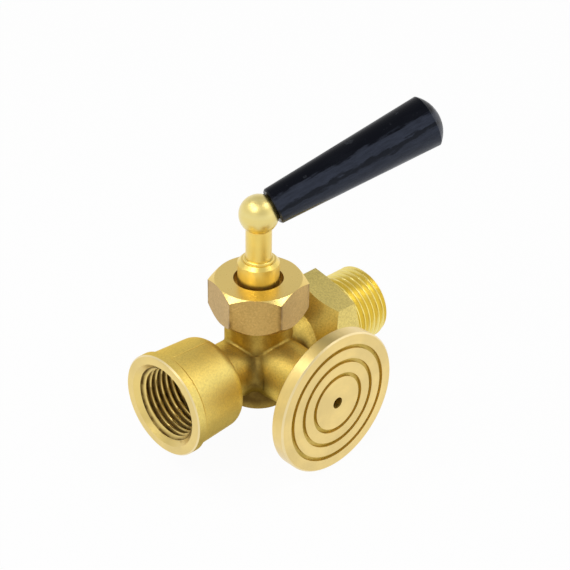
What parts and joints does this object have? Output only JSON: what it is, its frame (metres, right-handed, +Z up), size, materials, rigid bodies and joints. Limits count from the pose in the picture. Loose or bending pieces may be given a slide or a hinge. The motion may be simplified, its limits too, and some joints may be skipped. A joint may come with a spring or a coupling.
{
  "type": "three-way gauge cock",
  "caption": "Cast three-way gauge cock with a tapped socket, a threaded hexagon end and a round grooved test flange; a lever handle turns its taper plug.",
  "frame": {"origin": "on the male thread's axis, in the shoulder face of the wrench hexagon that the thread starts from", "axes": "+X out of the male thread, +Z up along the stem, -Y out of the test flange"},
  "size_m": [0.0827, 0.0451, 0.0877],
  "materials": {
    "cast_brass": "satin cast and machined",
    "turned_brass": "satin turned",
    "nut_brass": "satin milled",
    "packing": "matte",
    "stud_steel": "satin",
    "grip_plastic": "gloss, lightly scuffed"
  },
  "bodies": {
    "valve_body": {"body": "cast_brass", "thrust_washer": "turned_brass", "packing_ring_1": "packing", "packing_ring_2": "packing", "packing_ring_3": "packing", "gland_follower": "turned_brass", "gland_nut": "nut_brass"},
    "plug_and_handle": {"plug": "turned_brass", "handle_stud": "stud_steel", "handle_grip": "grip_plastic"}
  },
  "joints": [
    {"name": "plug_turn", "type": "hinge", "parent": "valve_body", "child": "plug_and_handle", "pos_m": [-0.0257, 0, 0], "axis": [0, 0, 1], "continuous": true}
  ]
}
